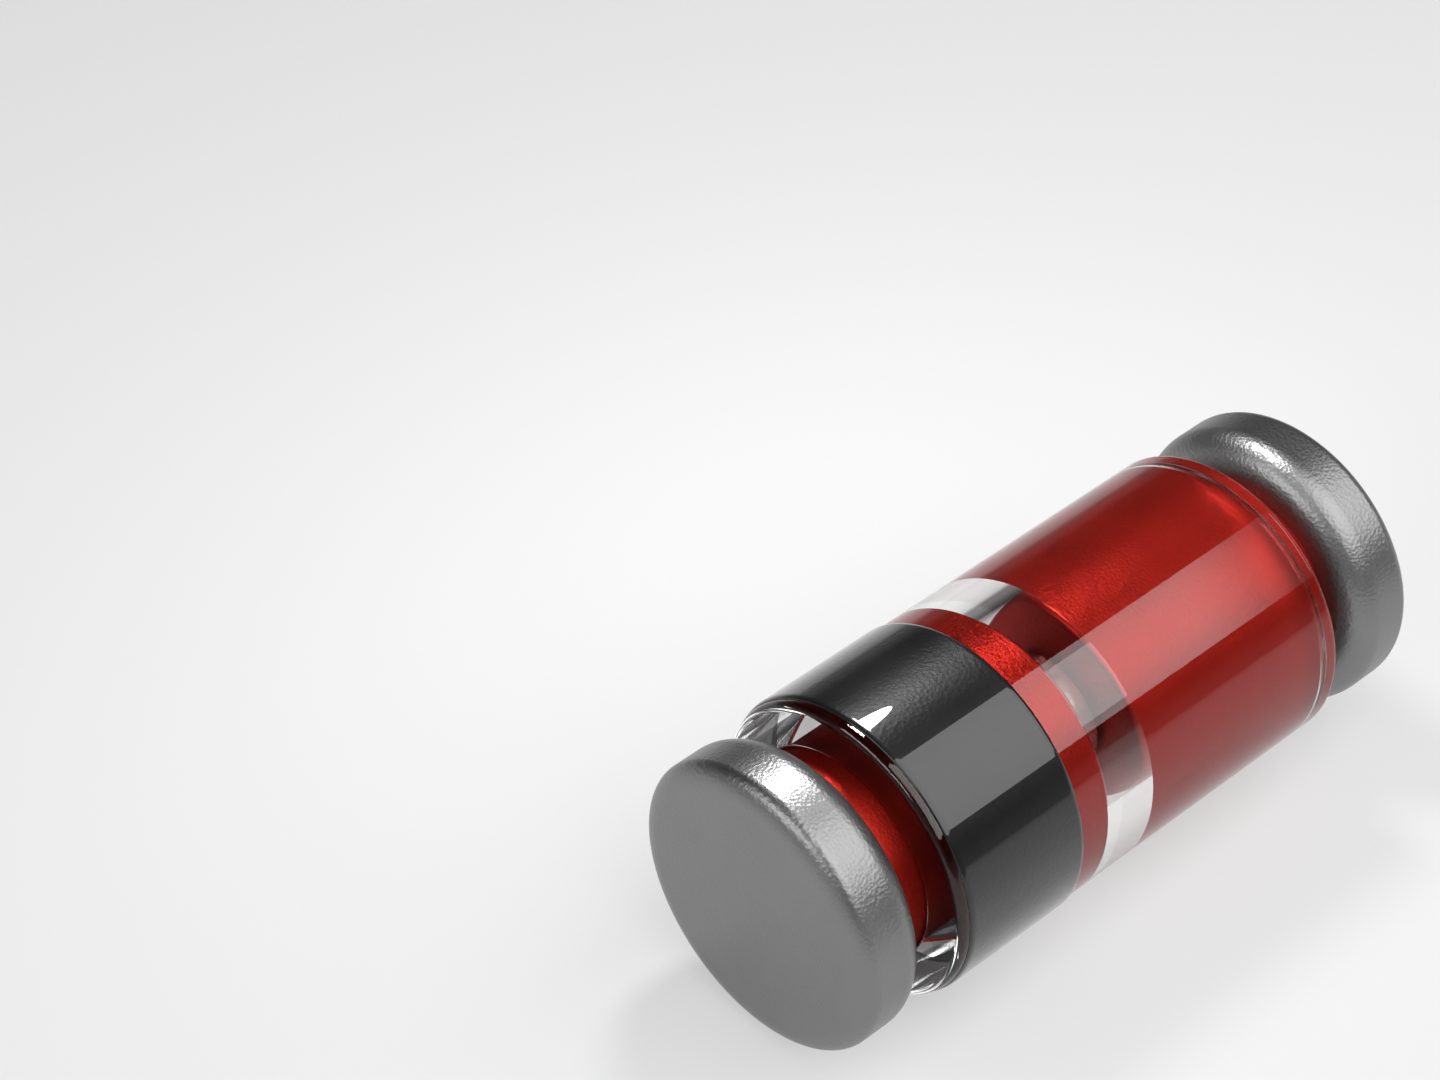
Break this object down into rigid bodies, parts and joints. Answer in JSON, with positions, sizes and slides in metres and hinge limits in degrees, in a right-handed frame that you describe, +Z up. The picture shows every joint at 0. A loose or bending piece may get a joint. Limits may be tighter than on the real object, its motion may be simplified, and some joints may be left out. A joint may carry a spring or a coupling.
{
  "type": "surface mount switching diode",
  "caption": "Leadless glass diode: red oxide coated studs sealed in a clear glass tube on a round silvered die, with plated end caps and a black cathode band.",
  "frame": {"origin": "on the board plane, under the middle of the body", "axes": "+X along the body from the cathode end to the anode end, +Z up from the board"},
  "size_m": [0.0036, 0.0016, 0.0015],
  "materials": {
    "glass": "clear, flame polished",
    "band_ink": "black printed ink, slightly grainy",
    "plating": "satin tin plating with a fine grain",
    "red_oxide": "red copper oxide coat, semi-gloss with a fine grain",
    "silvered_die": "bright silver plating"
  },
  "bodies": {
    "root": {"glass_tube": "glass", "cathode_band": "band_ink", "cathode_end_cap": "plating", "anode_end_cap": "plating", "cathode_stud": "red_oxide", "anode_stud": "red_oxide", "diode_die": "silvered_die"}
  },
  "joints": []
}
